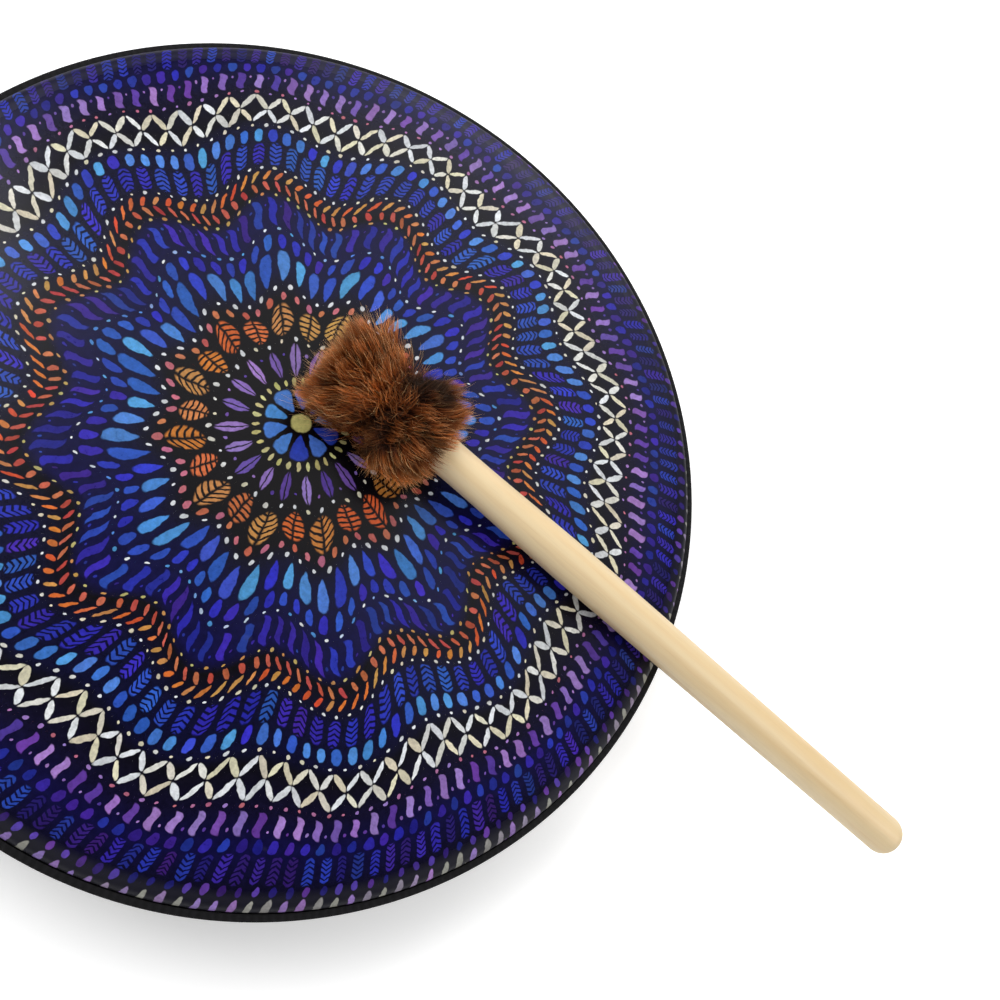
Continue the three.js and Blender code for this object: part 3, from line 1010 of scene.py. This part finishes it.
def make_fur_tree():
    tree, given, out = group("brushed_fur", "GeometryNodeTree", FUR_INPUTS, {"Fur": "geometry"})
    calc, vec = sums(tree), vectors(tree)

    def keep(geometry, name, sort, value):
        inputs = {"Geometry": geometry, "Name": name, "Value": value}
        kind = "GeometryNodeStoreNamedAttribute"
        return add(tree, kind, inputs, data_type=sort, domain="POINT").outputs[0]

    def kept(name, sort):
        node = add(tree, "GeometryNodeInputNamedAttribute", {"Name": name}, data_type=sort)
        return node.outputs["Attribute"]

    def scatter(density, seed, selection):
        """Points on the pad with their normal and a chance of their own."""
        spread = add(tree, "GeometryNodeDistributePointsOnFaces", {
            "Mesh": given["Pad"], "Density": density, "Selection": selection, "Seed": seed})
        chance = add(tree, "FunctionNodeRandomValue", {"Seed": seed}, data_type="FLOAT").outputs[1]
        marked = keep(spread.outputs["Points"], "root_normal", "FLOAT_VECTOR", spread.outputs["Normal"])
        return keep(keep(marked, "root_place", "FLOAT_VECTOR", where), "root_chance", "FLOAT", chance)

    where = add(tree, "GeometryNodeInputPosition").outputs[0]
    along = parts_of(tree, where)["X"]
    past_start = calc("GREATER_THAN", along, given["From"])
    in_part = calc("MULTIPLY", past_start, calc("LESS_THAN", along, given["To"]))
    locks = scatter(given["Locks per square metre"], calc("ADD", given["Seed"], 50), True)
    roots = scatter(given["Hairs per square metre"], given["Seed"], in_part)
    nearest = add(tree, "GeometryNodeSampleNearest", {"Geometry": locks, "Sample Position": where}).outputs[0]
    for name, sort in (("_normal", "FLOAT_VECTOR"), ("_place", "FLOAT_VECTOR"), ("_chance", "FLOAT")):
        inputs = {"Geometry": locks, "Value": kept("root" + name, sort), "Index": nearest}
        value = add(tree, "GeometryNodeSampleIndex", inputs, data_type=sort).outputs[0]
        roots = keep(roots, "lock" + name, sort, value)
    line = add(tree, "GeometryNodeCurvePrimitiveLine", {"End": (0, 0, 1)}).outputs[0]
    stepped = add(tree, "GeometryNodeResampleCurve", {"Curve": line, "Count": 5}).outputs[0]
    placed = add(tree, "GeometryNodeInstanceOnPoints", {"Points": roots, "Instance": stepped}).outputs[0]
    hairs = add(tree, "GeometryNodeRealizeInstances", {"Geometry": placed}).outputs[0]
    share = add(tree, "GeometryNodeSplineParameter").outputs["Factor"]
    brushed = join(tree, given["Comb"])
    first = calc("MULTIPLY", share, calc("SUBTRACT", 1, calc("MULTIPLY", share, 0.5)))
    second = calc("MULTIPLY", calc("POWER", share, 2), 0.5)

    def bent(kind, unruly, spread):
        """The place of this share of the way along a hair or a lock."""
        root, normal = kept(kind + "_place", "FLOAT_VECTOR"), kept(kind + "_normal", "FLOAT_VECTOR")
        chance = kept(kind + "_chance", "FLOAT")
        into_skin = vec("SCALE", normal, vec("DOT_PRODUCT", brushed, normal))
        swirl = noise(tree, root, calc("DIVIDE", 1, given["Swirl size"]), 1.0)["Color"]
        swirl = vec("SUBTRACT", swirl, (0.5, 0.5, 0.5))
        inputs = {"Min": (-1, -1, -1), "Max": (1, 1, 1), "ID": calc("MULTIPLY", chance, 1e6)}
        stray = add(tree, "FunctionNodeRandomValue", inputs, data_type="FLOAT_VECTOR")
        stray = vec("SCALE", stray.outputs[0], unruly)
        up = vec("SCALE", normal, given["Lift"])
        leaving = vec("ADD", up, vec("SUBTRACT", brushed, into_skin))
        leaving = vec("ADD", leaving, vec("ADD", vec("SCALE", swirl, SWIRL_AT_ROOT), stray))
        settled = vec("ADD", vec("SCALE", up, 0.3), vec("SCALE", brushed, 1.1))
        settled = vec("ADD", settled, vec("ADD", vec("SCALE", swirl, SWIRL_FURTHER_ON), stray))
        way = vec("SCALE", vec("NORMALIZE", leaving), first)
        way = vec("ADD", way, vec("SCALE", vec("NORMALIZE", settled), second))
        length = calc("MULTIPLY", given["Length"], calc("MULTIPLY_ADD", chance, spread, 1 - spread / 2))
        at_end = calc("POWER", calc("MAXIMUM", vec("DOT_PRODUCT", brushed, normal), 0), 3)
        length = calc("MULTIPLY", length, calc("MULTIPLY_ADD", at_end, -SHORTER_AT_END, 1))
        angle = calc("MULTIPLY_ADD", chance, 2 * math.pi, calc("MULTIPLY", share, CURL_RADIANS))
        curl = join(tree, 0.0, calc("SINE", angle), calc("COSINE", angle))
        curled = vec("SCALE", curl, calc("MULTIPLY", share, given["Curl"]))
        return vec("ADD", vec("ADD", root, curled), vec("SCALE", way, length))

    own = bent("root", given["Unruly"], 0.6)
    aside = vec("SUBTRACT", kept("root_place", "FLOAT_VECTOR"), kept("lock_place", "FLOAT_VECTOR"))
    aside = vec("SCALE", aside, 0.35)
    gathered = vec("ADD", bent("lock", 0.35, 0.7), aside)
    pull = calc("MULTIPLY", given["Gather"], calc("POWER", share, 1.2))
    tip = vec("ADD", own, vec("SCALE", vec("SUBTRACT", gathered, own), pull))
    grown = parts_of(tree, tip)
    face = calc("SUBTRACT", PAD_CLEARANCE, given["Rest height"])
    face = calc("ADD", face, calc("MULTIPLY", grown["X"], calc("SINE", given["Slope"])))
    lowest = calc("DIVIDE", face, calc("COSINE", given["Slope"]))
    lifted = join(tree, grown["X"], grown["Y"], calc("MAXIMUM", grown["Z"], lowest))
    hairs = add(tree, "GeometryNodeSetPosition", {"Geometry": hairs, "Position": lifted}).outputs[0]
    tone = calc("MULTIPLY", kept("lock_chance", "FLOAT"), 0.5)
    tone = calc("ADD", tone, calc("MULTIPLY", kept("root_chance", "FLOAT"), 0.5))
    hairs = keep(keep(hairs, "hair_share", "FLOAT", share), "hair_tone", "FLOAT", tone)
    slim = calc("MULTIPLY", given["Root radius"], calc("MULTIPLY_ADD", calc("POWER", share, 1.4), -0.9, 1.0))
    hairs = add(tree, "GeometryNodeSetCurveRadius", {"Curve": hairs, "Radius": slim}).outputs[0]
    ring = add(tree, "GeometryNodeCurvePrimitiveCircle", {"Resolution": 3, "Radius": 1.0}).outputs[0]
    inputs = {"Curve": hairs, "Profile Curve": ring, "Fill Caps": True, "Scale": slim}
    spikes = add(tree, "GeometryNodeCurveToMesh", inputs).outputs[0]
    realized = add(tree, "GeometryNodeRealizeInstances", {"Geometry": spikes}).outputs[0]
    inputs = {"Geometry": realized, "Material": given["Finish"]}
    feed(tree, out["Fur"], add(tree, "GeometryNodeSetMaterial", inputs).outputs[0])
    return tree


fur_tree = make_fur_tree()
print("made", fur_tree.name, "with", len(fur_tree.nodes), "nodes")

# %% [markdown]
# ### The hair's colour
# Each hair is dark brown at its root and rusty towards its tip, and some are paler all over. The fur is
# warmer at the two ends. Two patches of the coat carry painted shade: they are darker, on the lower lobe's
# top and at one side of the waist. One patch on the tip lobe's top, by the waist, is paler than the rest.


# %% Hair colour
# Patches of painted shade, and one paler patch: where each is from the fur's middle, how far it reaches, and
# how much light it keeps
SHADE_AND_PALE_PATCHES = [
    ((6.5 * MM, 6.0 * MM, 8.0 * MM), 13 * MM, 0.36),
    ((2.5 * MM, -7.0 * MM, 6.0 * MM), 9 * MM, 0.45),
    ((-6.0 * MM, -3.5 * MM, 10.0 * MM), 9 * MM, 1.75),
]
# A hair's colour from its root on. The tip's own ink comes last
HAIR_STOPS = [
    (0.0, ink(8, 4, 2)), (0.35, ink(46, 20, 6)), (0.65, ink(134, 68, 24)), (0.85, ink(178, 108, 54)),
]


def make_hair(name, tip_ink, lift, paling):
    """A hair's finish, by its tip's ink, the light of its darkest hairs and where that ink is reached."""
    made, tree, shader = material(name, roughness=0.5, specular=0.3)
    calc, vec = sums(tree), vectors(tree)
    share = add(tree, "ShaderNodeAttribute", attribute_name="hair_share").outputs["Fac"]
    tone = add(tree, "ShaderNodeAttribute", attribute_name="hair_tone").outputs["Fac"]
    place = object_place(tree)
    from_middle = vec("SUBTRACT", place, tuple(fur_middle))
    along = vec("DOT_PRODUCT", from_middle, tuple(beater_direction))
    warmth = fit(tree, calc("DIVIDE", calc("ABSOLUTE", along), fur_half), 0.1, 0.85)
    stops = [(at * paling, colour) for at, colour in HAIR_STOPS + [(1.0, tip_ink)]]
    colour = ramp(tree, share, stops)
    kept_light = 1.0
    for middle, reach, share_kept in SHADE_AND_PALE_PATCHES:
        away = vec("LENGTH", vec("SUBTRACT", from_middle, middle))
        kept_light = calc("MULTIPLY", fit(tree, away, 0.3 * reach, reach, share_kept, 1.0), kept_light)
    # Painted shade: where a patch keeps little light, the hair turns dark olive
    patch = calc("ADD", noise(tree, place, 90.0, 2.0)["Fac"], calc("MULTIPLY_ADD", kept_light, -0.25, 0.25))
    colour = mix(tree, fit(tree, patch, 0.52, 0.64, 0.0, 0.8), colour, ink(48, 34, 14))
    colour = mix(tree, calc("MULTIPLY", warmth, 0.2), colour, ink(158, 80, 26))
    toned = calc("MULTIPLY_ADD", calc("POWER", tone, 2), 3.0, lift)
    lit = calc("MULTIPLY", calc("MULTIPLY_ADD", warmth, 0.15, 0.85), toned)
    # Painted shade: the hair is dimmed in the darker patches and brightened in the paler one
    lit = calc("MULTIPLY", lit, kept_light)
    finished = add(tree, "ShaderNodeHueSaturation", {"Color": colour, "Value": lit}).outputs[0]
    feed(tree, shader["Base Color"], finished)
    return made


brown_fur = make_hair("brown_fur", ink(208, 156, 108), 0.27, 1.04)
pale_wisps = make_hair("pale_wisps", ink(226, 186, 130), 0.5, 0.78)
print("made", brown_fur.name, "and", pale_wisps.name)

# %% [markdown]
# ### Growing it
# The tree's result is turned into a plain mesh, and only then carried to its place, so that nothing is left
# to compute when the pieces move. Each lobe is a piece of its own, and so is the curlier coat at the waist.
# Two sparse coats of paler, longer wisps stand out of the lobes.

# %% Growing the fur
# What every coat starts from, and then what is different in each
BRUSHING = {
    "Hairs per square metre": 5.4e6, "Locks per square metre": 2.2e5, "Root radius": 0.13 * MM,
    "Lift": 0.85, "Gather": 0.66, "Unruly": 0.45, "Curl": 0.4 * MM, "Swirl size": 8 * MM,
    "Rest height": rest_height, "Slope": beater_slope, "Finish": brown_fur,
}
WISPS = {
    "Hairs per square metre": 1.3e6, "Root radius": 0.06 * MM, "Unruly": 0.8, "Gather": 0.3,
    "Lift": 1.0, "Finish": pale_wisps,
}
COATS = {
    "fur_tip_lobe": {"From": -30 * MM, "To": -1.5 * MM, "Comb": -1.0, "Length": 9.2 * MM, "Seed": 3},
    "fur_lower_lobe": {
        "From": 1.5 * MM, "To": 30 * MM, "Comb": 0.72, "Length": 8.4 * MM, "Seed": 8, "Lift": 1.25,
    },
    "fur_waist": {
        "From": -6 * MM, "To": 6 * MM, "Comb": -0.6, "Length": 7.6 * MM, "Seed": 21, "Unruly": 0.9,
        "Gather": 0.45, "Lift": 0.45, "Swirl size": 5 * MM, "Curl": 1.2 * MM,
    },
    "fur_tip_wisps": {
        "From": -30 * MM, "To": -2 * MM, "Comb": -1.0, "Length": 12 * MM, "Seed": 31, **WISPS,
    },
    "fur_lower_wisps": {
        "From": 2 * MM, "To": 30 * MM, "Comb": 0.6, "Length": 10.4 * MM, "Seed": 38, **WISPS,
    },
}


def input_name(tree, title):
    """The identifier of a tree's input, which a modifier's setting is stored under."""
    return next(item.identifier for item in tree.interface.items_tree
                if item.item_type == "SOCKET" and item.in_out == "INPUT" and item.name == title)


def grow(name, settings):
    ground = place_in_scene("growing_" + name, pad_mesh.copy())
    modifier = ground.modifiers.new("fur", "NODES")
    modifier.node_group = fur_tree
    for title, value in {**BRUSHING, **settings}.items():
        modifier[input_name(fur_tree, title)] = value
    evaluated = ground.evaluated_get(bpy.context.evaluated_depsgraph_get())
    mesh = bpy.data.meshes.new_from_object(evaluated)
    bpy.data.objects.remove(ground)
    mesh.name = name
    mesh.transform(beater_place)
    mesh.polygons.foreach_set("use_smooth", [True] * len(mesh.polygons))
    piece = show(name, mesh)


for coat, settings in COATS.items():
    grow(coat, settings)

# %% [markdown]
# ### The pad itself
# The pad goes in last, because the fur grew on it where it was made. It stands for the frame's soft solid.


# %% Placing the pad
def place_pad():
    pad_mesh.transform(beater_place)
    piece = show("fur_pad", pad_mesh, make_undercoat())
    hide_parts("beater_fur_head")


place_pad()

# %% [markdown]
# ## Floor and light
# The scene is a plain product picture on white, as taken on a light table. The floor glows a little. For the
# camera alone its glow also grows with the distance from the drum. That extra glow is painted light: it
# whitens the lamps' wider shadow, so the floor is white beside the drum and darkens only close under the rim.
# The main light stands high on the left, and a lower one far behind the drum shapes the handle. A large dim
# panel between them is what the satin film mirrors: it lifts the blacks of the far half to a soft grey, and
# leaves them deep at the near edge. Two soft fills stand on the right and in front. The air is white for the
# camera alone.

# %% Floor and lights
FLOOR_SIZE = 6.0
FLOOR_DROP = 0.2 * MM
FLOOR_GLOW = 0.22
# The floor's painted glow, seen by the camera alone, is this much more, in full from the second distance from
# the drum's axis on
GLOW_ADDED = 0.8
GLOW_GROWS = (0.125, 0.21)
AIR_LIGHT = 0.03
AIR_SEEN = 1.0
# Each light's place and aim in metres from the middle of the face, its size in metres and its power in watts
LIGHTS = {
    "far_key": ((-0.1, 1.25, 0.72), (0, 0.05, 0), 0.7, 8.5),
    "sheen_panel": ((0.06, 0.66, 1.12), (0, 0, 0), 0.9, 2.0),
    "left_key": ((-0.85, 0.1, 1.15), (0, 0, 0), 0.7, 10),
    "right_fill": ((1.3, 0.05, 0.85), (0, 0, 0), 0.9, 7),
    "front_fill": ((-0.2, -1.25, 1.15), (0, 0, 0), 1.2, 7),
}


def make_floor():
    mesh = bpy.data.meshes.new("floor")
    half = FLOOR_SIZE / 2
    corners = [(-half, -half, 0), (half, -half, 0), (half, half, 0), (-half, half, 0)]
    mesh.from_pydata(corners, [], [(0, 1, 2, 3)])
    made, tree, shader = material("pale_floor", roughness=0.9, specular=0.1)
    shader["Emission Color"].default_value = (1, 1, 1, 1)
    calc = sums(tree)
    place = object_place(tree)
    away = vectors(tree)("DISTANCE", place, (face_centre.x, face_centre.y, 0))
    seen = add(tree, "ShaderNodeLightPath").outputs["Is Camera Ray"]
    # Painted light: the camera sees the floor glow more away from the drum, which hides the lamps' wider
    # shadow
    painted_glow = calc("MULTIPLY", fit(tree, away, *GLOW_GROWS), seen)
    feed(tree, shader["Emission Strength"], calc("MULTIPLY_ADD", painted_glow, GLOW_ADDED, FLOOR_GLOW))
    cloud = noise(tree, place, 3.0, 2.0)["Fac"]
    feed(tree, shader["Base Color"], mix(tree, cloud, ink(246, 246, 246), ink(250, 250, 250)))
    mesh.materials.append(made)
    floor = place_in_scene("floor", mesh)
    floor.location.z = -FLOOR_DROP
    floor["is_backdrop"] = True


def softbox(name, place, aim, size, power):
    """A square area light at a place, turned to an aim, both in metres from the middle of the face."""
    data = bpy.data.lights.new(name, "AREA")
    data.energy, data.size = power, size
    light = place_in_scene(name, data)
    light.location = face_centre + Vector(place)
    light.rotation_mode = "QUATERNION"
    light.rotation_quaternion = (Vector(aim) - Vector(place)).to_track_quat("-Z", "Y")


def make_world():
    world = bpy.data.worlds.new("plain_air")
    bpy.context.scene.world = world
    world.use_nodes = True
    tree = world.node_tree
    back = tree.nodes["Background"].inputs
    back["Color"].default_value = (1, 1, 1, 1)
    seen = add(tree, "ShaderNodeLightPath").outputs["Is Camera Ray"]
    feed(tree, back["Strength"], sums(tree)("MULTIPLY_ADD", seen, AIR_SEEN - AIR_LIGHT, AIR_LIGHT))


make_floor()
make_world()
for light_name, setting in LIGHTS.items():
    softbox(light_name, *setting)
bpy.context.scene.view_settings.view_transform = "Standard"

# %% [markdown]
# ## The two boxes
# The boxes of the frame's solids and of the dressed part are compared: the last lines print how far the
# dressed part's box grows past the frame's on each side.

# %% Finish
low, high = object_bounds()
for side, growth in (("low", cad_low - low), ("high", high - cad_high)):
    print("box grows on its", side, "side by", [round(1000 * v, 1) for v in growth], "mm")
